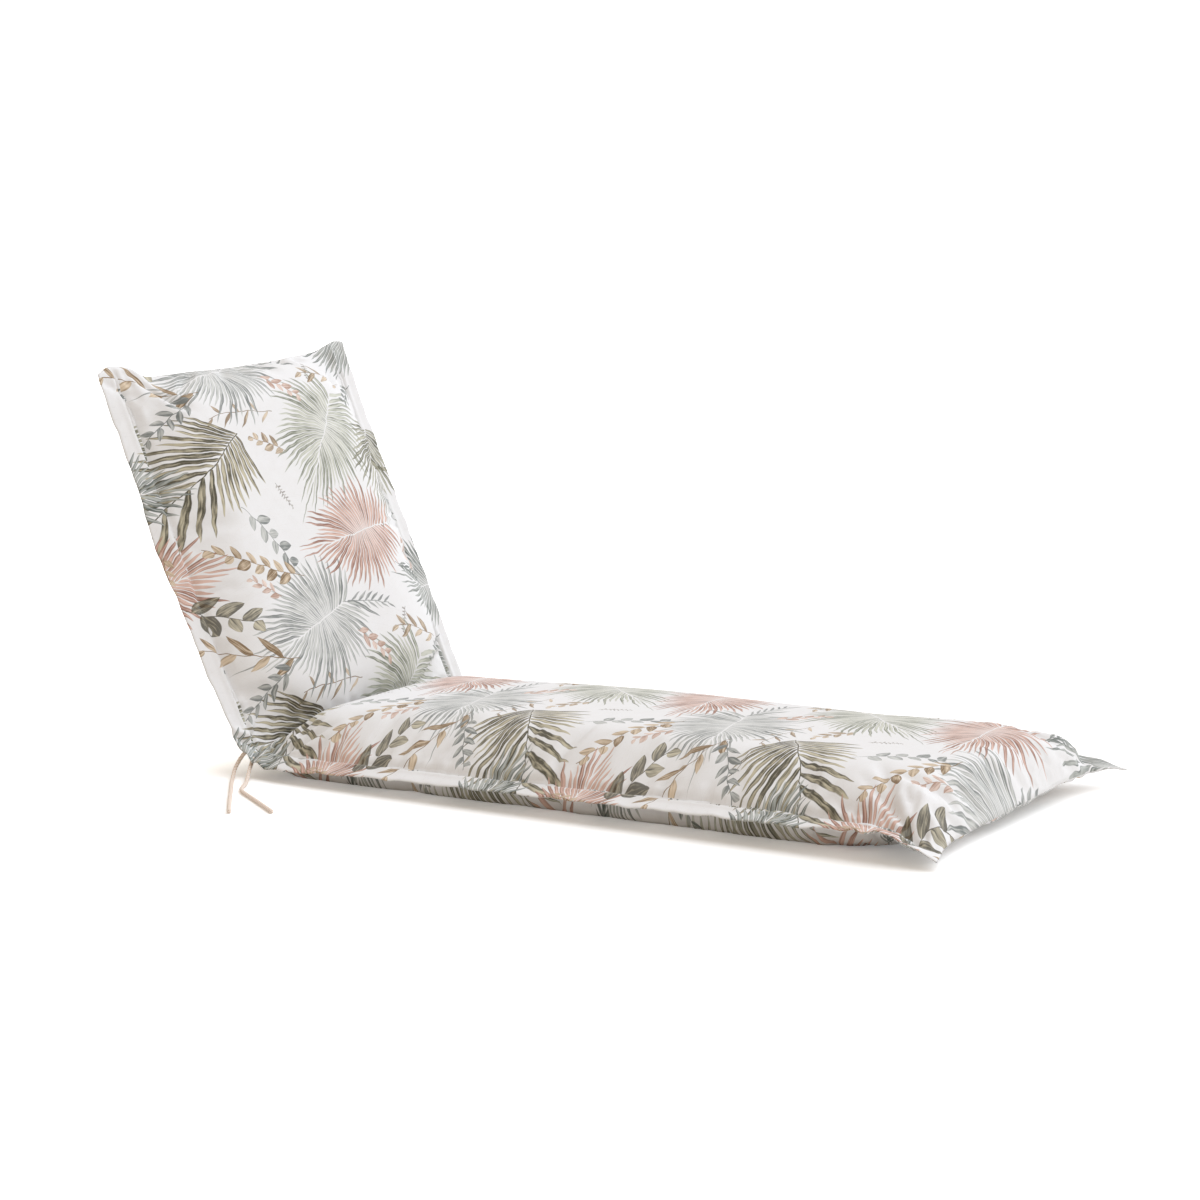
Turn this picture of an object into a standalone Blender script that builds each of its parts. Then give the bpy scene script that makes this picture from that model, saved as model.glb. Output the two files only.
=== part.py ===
"""Sun lounger cushion: one long filled cushion with a sewn cross fold.

The backrest stands raised at the fold and the seat lies flat on the ground.
Both long sides carry a flat stitched flange, the two ends have a plain seam
drawn in between pointed corners, and two tie strands hang from the near end
of the fold.

The shape is worked out in cloth coordinates: s runs along the cushion from
the top seam to the foot seam, t runs across it, near side negative. All
sizes are in metres, +Z is up, +X points to the foot and -Y is the near side.
"""

import math

import bmesh
import bpy
import numpy as np
from mathutils import Vector

# Driving sizes of the cover
WIDTH = 0.530                 # flange edge to flange edge
FLANGE = 0.030                # flat border outside the stitched line
BACK_LENGTH = 0.604           # top seam's corners to the fold
SEAT_LENGTH = 1.139           # fold to the foot seam's corners
BACK_ANGLE = math.radians(66.6)   # backrest above the ground
CLOTH = 0.0032                # two turned layers of cloth at flange and seams
FOLD_HALF = 0.016             # cloth on each side of the fold that bends

# Crown of each panel, measured from the seam plane
SEAT_CROWN = (
    # x     crown
    (0.000, 0.062),
    (0.220, 0.066),
    (0.450, 0.066),
    (0.800, 0.061),
    (1.139, 0.059),
)
SEAT_BELOW = 0.062
BACK_CROWN = 0.050
BACK_BELOW = 0.042
SIDE_RUN = 0.180              # stretch over which the crown rises from a side
BELOW_RUN = 0.070             # the same on the underside
SIDE_POWER = 3.0
FOOT_RUN = 0.068              # the same from the foot seam
FOOT_POWER = 2.4
TOP_RUN = 0.110               # the same from the top seam
TOP_POWER = 2.3
FOLD_RUN = 0.115              # the same from the sewn fold line
FOLD_POWER = 2.3

# Sides: gathered in at the fold, spread at the top corners
PINCH_NEAR = 0.009
PINCH_FAR = 0.001
PINCH_ON_BACK = 0.200
PINCH_ON_SEAT = 0.060
TOP_SPREAD = 0.006
SPREAD_REACH = 0.060

# End seams: how far each stands past the panel's nominal length, drawn in
# between the pointed ears at the corners
TOP_SEAM = (
    # t       past
    (-0.265, -0.001),
    (-0.243, 0.007),
    (-0.205, 0.002),
    (-0.177, -0.015),
    (-0.090, -0.014),
    (0.000, -0.016),
    (0.095, -0.013),
    (0.190, -0.006),
    (0.245, 0.009),
    (0.265, 0.011),
)
FOOT_SEAM = (
    (-0.265, 0.000),
    (-0.245, -0.006),
    (-0.215, -0.018),
    (-0.170, -0.026),
    (0.000, -0.029),
    (0.170, -0.030),
    (0.215, -0.025),
    (0.245, -0.008),
    (0.265, 0.007),
)

# Main folds in the upper cloth: middle of each, the way it runs from the
# length of the cushion, its length and width, and its height (a trough is
# negative)
FOLDS = (
    # s      t       degrees  length  width  height
    (1.655, -0.205, -28.0, 0.090, 0.011, -0.0060),
    (1.640, -0.175, -48.0, 0.080, 0.011, -0.0050),
    (1.672, -0.160, -10.0, 0.060, 0.010, -0.0040),
    (1.610, -0.222, -12.0, 0.070, 0.009, -0.0040),
    (1.690, -0.080, 4.0, 0.055, 0.012, -0.0035),
    (1.690, -0.010, -5.0, 0.050, 0.012, -0.0030),
    (1.688, 0.070, 6.0, 0.060, 0.012, -0.0035),
    (1.680, 0.150, 14.0, 0.065, 0.011, -0.0045),
    (1.668, 0.195, 34.0, 0.085, 0.011, -0.0060),
    (0.660, -0.185, 52.0, 0.085, 0.012, -0.0055),
    (0.690, -0.215, 30.0, 0.080, 0.010, -0.0045),
    (0.550, -0.195, -45.0, 0.080, 0.012, -0.0045),
    (0.045, 0.200, -42.0, 0.090, 0.011, -0.0050),
    (0.050, -0.185, 40.0, 0.085, 0.011, -0.0045),
)

# Heights of the seat's stitched line and flange edge above the ground, a row
# for each station along the seat: near stitch, near edge, far stitch, far edge
SEAT_SIDES = (
    # x      near_stitch  near_edge  far_stitch  far_edge
    (0.000, 0.0360, 0.0330, 0.0500, 0.0520),
    (0.050, 0.0330, 0.0255, 0.0430, 0.0400),
    (0.095, 0.0320, 0.0200, 0.0390, 0.0300),
    (0.160, 0.0335, 0.0220, 0.0380, 0.0280),
    (0.250, 0.0350, 0.0250, 0.0380, 0.0270),
    (0.520, 0.0380, 0.0285, 0.0390, 0.0290),
    (0.800, 0.0405, 0.0320, 0.0400, 0.0310),
    (0.950, 0.0400, 0.0330, 0.0390, 0.0310),
    (1.020, 0.0380, 0.0370, 0.0370, 0.0330),
    (1.070, 0.0360, 0.0400, 0.0410, 0.0400),
    (1.105, 0.0340, 0.0310, 0.0410, 0.0370),
    (1.139, 0.0300, 0.0120, 0.0390, 0.0250),
)

# Stations of the mesh, closer together where the cloth bends
END_STEPS = (0.0, 0.006, 0.015, 0.026, 0.039, 0.054, 0.072, 0.093)
MIDDLE_STEP = 0.034
SIDE_STEPS = (0.0, 0.015, 0.030, 0.036, 0.045, 0.057, 0.072, 0.090)
SIDE_COUNT = 8

# Ties: soft round cord, one strand's route in each table, from the fold's
# near corner down to the ground, measured from the fold line
TIE_DIAMETER = 0.006
TIE_STEP = 0.012
TIE_LEFT = (
    # x      y        z
    (-0.0012, -0.2450, 0.0357),
    (-0.0032, -0.2458, 0.0326),
    (-0.0068, -0.2530, 0.0240),
    (-0.0060, -0.2640, 0.0130),
    (0.0050, -0.2800, 0.0050),
    (0.0230, -0.3010, 0.0031),
    (0.0580, -0.3380, 0.0031),
    (0.1050, -0.3880, 0.0031),
    (0.1590, -0.4440, 0.0031),
)
TIE_RIGHT = (
    (0.0140, -0.2450, 0.0286),
    (0.0139, -0.2458, 0.0250),
    (0.0160, -0.2540, 0.0180),
    (0.0280, -0.2720, 0.0095),
    (0.0500, -0.3000, 0.0040),
    (0.0690, -0.3280, 0.0031),
    (0.0880, -0.3440, 0.0031),
    (0.1350, -0.3710, 0.0031),
    (0.2120, -0.4160, 0.0031),
)

HALF = WIDTH / 2
STITCH = HALF - FLANGE


def principled(name, colour, roughness):
    """Return a plain cloth material."""
    material = bpy.data.materials.new(name)
    material.use_nodes = True
    shader = material.node_tree.nodes["Principled BSDF"]
    shader.inputs["Base Color"].default_value = (*colour, 1.0)
    shader.inputs["Roughness"].default_value = roughness
    shader.inputs["Metallic"].default_value = 0.0
    return material


def smooth(value):
    """Ease from 0 to 1 with level ends."""
    value = min(max(value, 0.0), 1.0)
    return value * value * (3.0 - 2.0 * value)


def rise(distance, run, power):
    """Share of the full crown reached at a distance from a seam."""
    left = 1.0 - min(max(distance / run, 0.0), 1.0)
    return 1.0 - left ** power


def stations(length, first, last):
    """Places along a length, close at both ends and even in the middle."""
    inner = length - first[-1] - last[-1]
    count = math.ceil(inner / MIDDLE_STEP)
    middle = [first[-1] + inner * step / count for step in range(1, count)]
    return list(first) + middle + [length - step for step in reversed(last)]


def seat_side(x, t):
    """Height of the seam sheet at a station and a place across the seat."""
    columns = list(zip(*SEAT_SIDES))
    near_stitch, near_edge, far_stitch, far_edge = (
        float(np.interp(x, columns[0], column)) for column in columns[1:]
    )
    stitch, edge = (near_stitch, near_edge) if t < 0 else (far_stitch, far_edge)
    outside = (abs(t) - STITCH) / FLANGE
    if outside > 0:
        return stitch + (edge - stitch) * outside
    across = smooth(0.5 + 0.5 * t / STITCH)
    return near_stitch + (far_stitch - near_stitch) * across


def seam_path(s):
    """Point (x, z) and heading of the seam sheet's middle at length s."""
    along = s - BACK_LENGTH
    turn = min(max((along + FOLD_HALF) / (2 * FOLD_HALF), 0.0), 1.0)
    heading = -BACK_ANGLE * (1.0 - turn)
    if along >= FOLD_HALF:
        return along, 0.0, heading
    radius = 2 * FOLD_HALF / BACK_ANGLE
    x = FOLD_HALF + radius * math.sin(heading)
    z = radius * (1.0 - math.cos(heading))
    beyond = max(-FOLD_HALF - along, 0.0)
    return x - beyond * math.cos(BACK_ANGLE), z + beyond * math.sin(BACK_ANGLE), heading


def across_width(s, t):
    """Side sheet's y, gathered in at the fold and spread at the top ears."""
    pinch = PINCH_NEAR if t < 0 else PINCH_FAR
    reach = PINCH_ON_SEAT if s > BACK_LENGTH else PINCH_ON_BACK
    gather = pinch * math.exp(-(((s - BACK_LENGTH) / reach) ** 2))
    spread = TOP_SPREAD * math.exp(-((s / SPREAD_REACH) ** 2))
    return t * (1.0 - (gather - spread) / HALF)


def folded(s, t):
    """Height of all the main folds at one point of the upper cloth."""
    total = 0.0
    for middle_s, middle_t, degrees, length, width, height in FOLDS:
        turn = math.radians(degrees)
        ahead = (s - middle_s) * math.cos(turn) + (t - middle_t) * math.sin(turn)
        aside = (t - middle_t) * math.cos(turn) - (s - middle_s) * math.sin(turn)
        total += height * math.exp(-((2 * ahead / length) ** 2) - (aside / width) ** 2)
    return total


def place(s, t, upper):
    """Carry a point of the flat cloth, top or underside, to where it lies."""
    fold_gap = abs(s - BACK_LENGTH)
    on_seat = s >= BACK_LENGTH
    x, z, heading = seam_path(s)

    # The end seams follow their tables, with the change spread over the panel
    length, seam, away = (SEAT_LENGTH, FOOT_SEAM, 1) if on_seat else (BACK_LENGTH, TOP_SEAM, -1)
    past = float(np.interp(t, *zip(*seam))) * (fold_gap / length) ** 6
    x += past * math.cos(heading) * away
    z += past * math.sin(heading) * away
    y = across_width(s, t)

    # Height of the seam sheet, which the backrest takes from the fold
    z += seat_side(max(x, 0.0), t)

    # Crown above and below the seam sheet inside the stitched lines
    inside = STITCH - abs(t)
    end_gap = length - fold_gap
    end_run, end_power = (FOOT_RUN, FOOT_POWER) if on_seat else (TOP_RUN, TOP_POWER)
    along = rise(end_gap, end_run, end_power) * rise(fold_gap, FOLD_RUN, FOLD_POWER)
    if upper:
        crown = float(np.interp(x, *zip(*SEAT_CROWN))) if on_seat else BACK_CROWN
        filled = along * rise(inside, SIDE_RUN, SIDE_POWER)
        height = crown * filled + folded(s, t) * min(3.0 * filled, 1.0) + CLOTH / 2
    else:
        crown = SEAT_BELOW if on_seat else BACK_BELOW
        height = -crown * along * rise(inside, BELOW_RUN, SIDE_POWER) - CLOTH / 2
    x -= height * math.sin(heading)
    z += height * math.cos(heading)
    return Vector((x, y, max(z, 0.0)))


def make_cushion(collection):
    """Double a flat sheet, then carry each corner to its place."""
    rows = stations(BACK_LENGTH, END_STEPS, END_STEPS)
    rows += [BACK_LENGTH + s for s in stations(SEAT_LENGTH, END_STEPS, END_STEPS)[1:]]
    columns = [-HALF + step for step in SIDE_STEPS]
    columns += [columns[-1] * (1 - step / SIDE_COUNT) for step in range(1, SIDE_COUNT)]
    columns += [0.0] + [-t for t in reversed(columns)]

    sheet = bmesh.new()
    bmesh.ops.create_grid(
        sheet,
        x_segments=len(rows) - 1,
        y_segments=len(columns) - 1,
        size=0.5,
    )
    doubled = bmesh.ops.extrude_face_region(sheet, geom=sheet.faces[:])
    upper = {item for item in doubled["geom"] if isinstance(item, bmesh.types.BMVert)}
    for vert in sheet.verts:
        row = round((vert.co.x + 0.5) * (len(rows) - 1))
        column = round((vert.co.y + 0.5) * (len(columns) - 1))
        vert.co = place(rows[row], columns[column], vert in upper)
    bmesh.ops.recalc_face_normals(sheet, faces=sheet.faces[:])

    mesh = bpy.data.meshes.new("cushion")
    sheet.to_mesh(mesh)
    sheet.free()
    mesh.shade_smooth()
    mesh.set_sharp_from_angle(angle=math.radians(60))
    cushion = bpy.data.objects.new("cushion", mesh)
    mesh.materials.append(principled("printed cotton cover", (0.86, 0.82, 0.78), 0.85))
    collection.objects.link(cushion)
    return cushion


def smooth_route(points, step):
    """Evenly spaced points on a smooth curve through a route's own points."""
    route = np.array(points)
    ends = np.vstack([2 * route[0] - route[1], route, 2 * route[-1] - route[-2]])
    share = np.linspace(0.0, 1.0, 24, endpoint=False)[:, None]
    runs = []
    for before, start, end, after in zip(ends, ends[1:], ends[2:], ends[3:]):
        runs.append(0.5 * (
            2 * start
            + (end - before) * share
            + (2 * before - 5 * start + 4 * end - after) * share ** 2
            + (3 * start - before - 3 * end + after) * share ** 3
        ))
    fine = np.vstack(runs + [route[-1:]])
    reach = np.concatenate([[0.0], np.cumsum(np.linalg.norm(np.diff(fine, axis=0), axis=1))])
    places = np.linspace(0.0, reach[-1], round(reach[-1] / step) + 1)
    return np.column_stack([np.interp(places, reach, fine[:, axis]) for axis in range(3)])


def make_tie(name, route, material, collection):
    """One strand of cord as a bevelled curve with filled ends."""
    curve = bpy.data.curves.new(name, "CURVE")
    curve.dimensions = "3D"
    curve.bevel_depth = TIE_DIAMETER / 2
    curve.bevel_resolution = 3
    curve.use_fill_caps = True
    points = smooth_route(route, TIE_STEP)
    points[:, 2] = np.maximum(points[:, 2], TIE_DIAMETER / 2 + 0.0001)
    spline = curve.splines.new("POLY")
    spline.points.add(len(points) - 1)
    for target, point in zip(spline.points, points):
        target.co = (*point, 1.0)
    curve.materials.append(material)
    tie = bpy.data.objects.new(name, curve)
    collection.objects.link(tie)
    return tie


def centre_under(cushion, ties):
    """Move everything so that the origin is under the cushion's middle."""
    corners = np.array([vert.co for vert in cushion.data.vertices])
    middle = (corners.min(axis=0) + corners.max(axis=0)) / 2
    for vert in cushion.data.vertices:
        vert.co.x -= middle[0]
        vert.co.y -= middle[1]
    for tie in ties:
        for point in tie.data.splines[0].points:
            point.co.x -= middle[0]
            point.co.y -= middle[1]


def main():
    """Build the cushion and its ties in their own collection."""
    for old in list(bpy.data.objects):
        bpy.data.objects.remove(old, do_unlink=True)
    collection = bpy.data.collections.new("sun lounger cushion")
    bpy.context.scene.collection.children.link(collection)
    cushion = make_cushion(collection)
    cord = principled("cotton tie cord", (0.84, 0.76, 0.68), 0.9)
    ties = [
        make_tie("tie_left", TIE_LEFT, cord, collection),
        make_tie("tie_right", TIE_RIGHT, cord, collection),
    ]
    centre_under(cushion, ties)


main()
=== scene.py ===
import logging
import math
from collections.abc import Mapping, Sequence
from dataclasses import dataclass, field
from enum import Enum

import bpy
import numpy as np
from mathutils import Matrix, Vector


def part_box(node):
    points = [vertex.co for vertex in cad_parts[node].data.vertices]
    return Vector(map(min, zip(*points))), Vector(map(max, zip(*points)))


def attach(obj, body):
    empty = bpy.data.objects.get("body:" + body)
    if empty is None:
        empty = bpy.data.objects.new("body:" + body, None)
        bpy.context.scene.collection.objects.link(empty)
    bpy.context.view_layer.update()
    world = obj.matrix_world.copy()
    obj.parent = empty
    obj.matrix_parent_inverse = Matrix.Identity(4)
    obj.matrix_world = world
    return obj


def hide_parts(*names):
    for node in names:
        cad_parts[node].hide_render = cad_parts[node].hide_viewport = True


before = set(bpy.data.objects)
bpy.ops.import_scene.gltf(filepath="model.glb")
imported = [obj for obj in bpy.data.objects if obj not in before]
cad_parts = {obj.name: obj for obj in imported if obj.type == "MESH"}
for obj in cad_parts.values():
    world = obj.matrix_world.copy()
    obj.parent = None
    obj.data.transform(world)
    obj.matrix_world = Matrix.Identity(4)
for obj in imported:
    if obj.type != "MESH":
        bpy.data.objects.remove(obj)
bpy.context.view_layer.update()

logging.basicConfig(level=logging.INFO, format="%(message)s")
log = logging.getLogger("sun_lounger_cushion")

Array = np.ndarray


def linear(hex_colour: str) -> tuple[float, float, float, float]:
    """Turn an sRGB hex colour to linear RGBA.

    Args:
        hex_colour: six hex digits after a hash sign.

    Returns:
        Linear red, green, blue and an alpha of one.
    """
    parts = np.array([int(hex_colour[place:place + 2], 16) for place in (1, 3, 5)]) / 255.0
    lin = np.where(parts <= 0.04045, parts / 12.92, ((parts + 0.055) / 1.055) ** 2.4)
    return (*(float(part) for part in lin), 1.0)


def ease(value: Array) -> Array:
    """Ease from 0 to 1 with level ends: 3v^2 - 2v^3 of the clipped value."""
    held = np.clip(value, 0.0, 1.0)
    return held * held * (3.0 - 2.0 * held)


def rise(distance: Array, run: Array | float, power: float) -> Array:
    """Share of a crown reached at a distance from its seam: 1 - (1 - d/run)^power."""
    left = 1.0 - np.clip(distance / run, 0.0, 1.0)
    return 1.0 - left ** power


def soft_table(value: Array, table: Sequence[Sequence[float]], column: int, blur: float) -> Array:
    """Read a column of a short table with its corners rounded off.

    The straight lines between the rows are sampled finely and averaged with a
    bell of the given width, so that no kink shows where two rows meet.

    Args:
        value: places to read at, in the first column's units.
        table: rows of numbers, the first column rising.
        column: which column to read.
        blur: width of the bell, in the first column's units.

    Returns:
        The column's values at those places.
    """
    rows = np.array(table)
    fine = np.linspace(rows[0, 0], rows[-1, 0], 801)
    line = np.interp(fine, rows[:, 0], rows[:, column])
    reach = blur / (fine[1] - fine[0])
    offsets = np.arange(-math.ceil(3 * reach), math.ceil(3 * reach) + 1)
    bell = np.exp(-0.5 * (offsets / reach) ** 2)
    padded = np.pad(line, len(offsets) // 2, mode="reflect", reflect_type="odd")
    return np.interp(value, fine, np.convolve(padded, bell / bell.sum(), "valid"))


def smooth_route(points: Sequence[Sequence[float]], step: float) -> Array:
    """Evenly spaced points on a smooth curve through a route's own points.

    Each span is the cubic whose slope at a point is half the way between its
    two neighbours; the fine curve is then read at even distances.

    Args:
        points: the route's points, in metres.
        step: spacing wanted along the curve, in metres.

    Returns:
        The points, one row each.
    """
    route = np.array(points)
    ends = np.vstack([2 * route[0] - route[1], route, 2 * route[-1] - route[-2]])
    share = np.linspace(0.0, 1.0, 24, endpoint=False)[None, :, None]
    before, start, end, after = (ends[k:len(ends) - 3 + k][:, None, :] for k in range(4))
    runs = 0.5 * (
        2 * start
        + (end - before) * share
        + (2 * before - 5 * start + 4 * end - after) * share ** 2
        + (3 * start - before - 3 * end + after) * share ** 3
    )
    fine = np.vstack([runs.reshape(-1, 3), route[-1:]])
    reach = np.concatenate([[0.0], np.cumsum(np.linalg.norm(np.diff(fine, axis=0), axis=1))])
    places = np.linspace(0.0, reach[-1], round(reach[-1] / step) + 1)
    return np.column_stack([np.interp(places, reach, fine[:, axis]) for axis in range(3)])


def new_mesh(name: str, points: Array, quads: Array) -> bpy.types.Mesh:
    """Put arrays of corners and four-sided faces into a smooth-shaded mesh.

    Args:
        name: the mesh's name.
        points: corners, one row each, in metres.
        quads: four corner numbers to a row.

    Returns:
        The mesh.
    """
    mesh = bpy.data.meshes.new(name)
    mesh.from_pydata(points, [], quads.tolist())
    mesh.update()
    mesh.shade_smooth()
    return mesh


def new_object(name: str, mesh: bpy.types.Mesh) -> bpy.types.Object:
    """Link a mesh to the scene as an object at the origin."""
    piece = bpy.data.objects.new(name, mesh)
    bpy.context.scene.collection.objects.link(piece)
    return piece


class NodeSheet:
    """A node tree that is filled from short rows."""

    def __init__(self, tree: bpy.types.NodeTree) -> None:
        """Start with an empty tree."""
        self.tree = tree
        self.tree.nodes.clear()

    def add(self, kind: str, inputs: Mapping = {}, **settings: object) -> bpy.types.Node:
        """Add one node with its settings and its links or values.

        Args:
            kind: the node's Blender type.
            inputs: a socket to link from, or a value, for each input's name or number.
            settings: the node's own properties.

        Returns:
            The new node.
        """
        node = self.tree.nodes.new(kind)
        for name, value in settings.items():
            setattr(node, name, value)
        for place, value in inputs.items():
            if isinstance(value, bpy.types.NodeSocket):
                self.tree.links.new(value, node.inputs[place])
            else:
                node.inputs[place].default_value = value
        return node

    def rows(self, known: dict, steps: Sequence[tuple]) -> dict:
        """Add a node for each row and keep its first output under the row's name.

        Args:
            known: sockets by name, which the rows may use and which grows with them.
            steps: rows of name, node type, operation and then the inputs in order,
                each a name from known or a plain value.

        Returns:
            The grown dictionary.
        """
        for name, kind, operation, *terms in steps:
            inputs = {
                place: known[term] if isinstance(term, str) else term
                for place, term in enumerate(terms)
            }
            settings = {"operation": operation} if operation else {}
            known[name] = self.add(kind, inputs, **settings).outputs[0]
        return known


SUM = "ShaderNodeMath"
VEC = "ShaderNodeVectorMath"
FLOAT = "NodeSocketFloat"
COLOUR = "NodeSocketColor"
VECTOR = "NodeSocketVector"


class Ink(Enum):
    """Printing colours: the thin wash and where the dye has pooled."""

    BLUE_GREY = ("#C9CAC6", "#767B79")
    TEAL = ("#B6B9B4", "#5C6460")
    SAGE = ("#CBCCC0", "#767B6C")
    OLIVE = ("#C3BBA2", "#4E4A3A")
    MOSS = ("#BDBBA9", "#5B5C4C")
    ROSE = ("#D5B4A6", "#8A6252")
    TAN = ("#D6C4AB", "#7F6748")
    PEACH = ("#E6D2C6", "#A98572")
    STONE = ("#D2CEC9", "#8D8882")


class Habit(Enum):
    """How a sprig carries its leaves."""

    ALONG_STEM = "stem"
    PALM_LEAF = "palm leaf"


@dataclass(frozen=True)
class Sprig:
    """One leafy stem of the repeat, in millimetres of flat cloth and degrees.

    root_s runs along the cushion from the top seam, root_t across it, and
    heading turns from +s towards +t. leaf and width are each leaf's length
    and half width, pitch their spacing, slant the angle between leaf and stem
    and bend how far the stem bows, as a share of its length.
    """

    ink: Ink
    root_s: float
    root_t: float
    heading: float
    length: float
    leaf: float
    width: float
    pitch: float
    slant: float = 45.0
    bend: float = 0.0
    taper: float = 0.4
    blunt: float = 0.8
    offset: float = 0.25
    strength: float = 0.88
    rib: float = 1.0
    fade: float = 0.12
    vein: float = 0.25
    habit: Habit = Habit.ALONG_STEM


@dataclass(frozen=True)
class Palm:
    """One palm leaf: narrow leaflets that spread from a short rib.

    Every leaflet points away from a spot at depth behind the rib. first and
    last are the leaflets' angles from the heading, pitch the angle between
    two of them, and curl how much they turn forward over 100 mm. A rib of 1
    is drawn and one of -1 is left white.
    """

    ink: Ink
    root_s: float
    root_t: float
    heading: float
    leaf: float
    width: float = 3.4
    pitch: float = 8.0
    depth: float = 22.0
    first: float = 14.0
    last: float = 150.0
    curl: float = 0.12
    bend: float = 0.0
    taper: float = 0.45
    blunt: float = 0.62
    strength: float = 0.95
    rib: float = -1.0
    fade: float = -0.22
    vein: float = -0.30
    habit: Habit = Habit.PALM_LEAF


# The repeat, charted one by one: ordinary palm leaves and leafy sprigs
REPEAT_S = 437.0
REPEAT_T = 600.0
LEAF_CHART = (
    Sprig(Ink.TAN, 113.0, -4.0, -101.0, 130.0, 34.0, 3.2, 38.0, slant=52.0, bend=0.12, blunt=1.0),
    Sprig(Ink.BLUE_GREY, 432.0, 0.0, 84.0, 98.0, 30.0, 2.2, 14.0, slant=32.0, bend=-0.08, blunt=1.0),
    Sprig(Ink.STONE, 228.0, -52.0, 22.0, 48.0, 7.0, 1.6, 6.0, slant=70.0, blunt=0.5),
    Sprig(Ink.STONE, 26.0, 132.0, -38.0, 46.0, 7.0, 1.6, 6.0, slant=70.0, blunt=0.5),
    Palm(Ink.BLUE_GREY, 450.0, -54.0, -74.0, 112.0, width=3.5, pitch=5.2, depth=27.0, curl=0.24,
         last=158.0, strength=0.96),
    Palm(Ink.SAGE, 154.0, 96.0, -38.0, 114.0, width=3.5, pitch=5.2, depth=27.0, curl=0.28, last=158.0,
         strength=0.96),
    Palm(Ink.OLIVE, 116.0, -62.0, -50.0, 124.0, width=3.9, pitch=3.3, depth=64.0, first=13.0, last=60.0,
         curl=-0.08, bend=-0.06, taper=0.25, rib=1.0, fade=0.55, strength=0.97),
    Palm(Ink.MOSS, 150.0, 246.0, -24.0, 104.0, width=3.4, pitch=4.6, depth=42.0, first=16.0, last=84.0,
         curl=0.10, fade=0.2),
    Palm(Ink.TEAL, -4.0, 276.0, -98.0, 92.0, width=3.4, pitch=5.4, last=120.0, curl=0.18),
    Palm(Ink.TEAL, 188.0, -306.0, 80.0, 78.0, width=4.0, pitch=6.2, last=120.0, curl=0.18),
    Palm(Ink.ROSE, 330.0, 98.0, -84.0, 98.0, width=3.4, pitch=5.4, depth=25.0, curl=0.24, last=162.0),
    Palm(Ink.ROSE, 334.0, -296.0, 88.0, 84.0, width=3.8, pitch=6.0, curl=0.16, last=110.0),
    Sprig(Ink.TAN, 60.0, -128.0, -102.0, 140.0, 48.0, 6.2, 42.0, slant=40.0, bend=-0.12, blunt=1.05,
          strength=0.95),
    Sprig(Ink.BLUE_GREY, 62.0, -138.0, -62.0, 114.0, 27.0, 5.0, 20.0, slant=46.0, bend=0.10, blunt=0.9,
          strength=0.95),
    Sprig(Ink.BLUE_GREY, 256.0, -136.0, 40.0, 122.0, 32.0, 8.0, 26.0, slant=48.0, bend=-0.14, blunt=0.8,
          strength=0.95),
    Sprig(Ink.TAN, 380.0, -60.0, -105.0, 168.0, 30.0, 7.4, 25.0, slant=44.0, bend=-0.12, blunt=0.8,
          strength=0.95),
    Sprig(Ink.PEACH, 402.0, -120.0, -128.0, 60.0, 21.0, 4.2, 17.0, slant=38.0),
    Sprig(Ink.OLIVE, 382.0, -262.0, 56.0, 104.0, 40.0, 10.0, 34.0, slant=42.0, bend=0.10, blunt=0.8,
          fade=0.3),
    Sprig(Ink.PEACH, 42.0, 10.0, 46.0, 76.0, 22.0, 5.4, 19.0, slant=38.0, blunt=0.8),
    Sprig(Ink.TAN, 78.0, 194.0, -112.0, 104.0, 36.0, 5.2, 30.0, slant=40.0, bend=0.10, blunt=1.0),
    Sprig(Ink.TEAL, 76.0, 246.0, -64.0, 84.0, 22.0, 3.8, 14.0, slant=48.0, blunt=0.9),
    Sprig(Ink.TAN, 180.0, -6.0, -116.0, 68.0, 24.0, 5.6, 20.0, slant=42.0, blunt=0.8),
    Sprig(Ink.PEACH, 332.0, 224.0, -12.0, 74.0, 21.0, 4.2, 17.0, slant=42.0),
    Sprig(Ink.BLUE_GREY, 262.0, 214.0, 20.0, 64.0, 19.0, 4.4, 16.0, slant=50.0),
    Sprig(Ink.TEAL, 388.0, 150.0, 64.0, 84.0, 24.0, 2.4, 12.0, slant=26.0, bend=0.10, blunt=1.0),
    Sprig(Ink.TAN, 296.0, -258.0, -12.0, 58.0, 20.0, 3.6, 15.0, slant=36.0, blunt=0.9),
)


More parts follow.
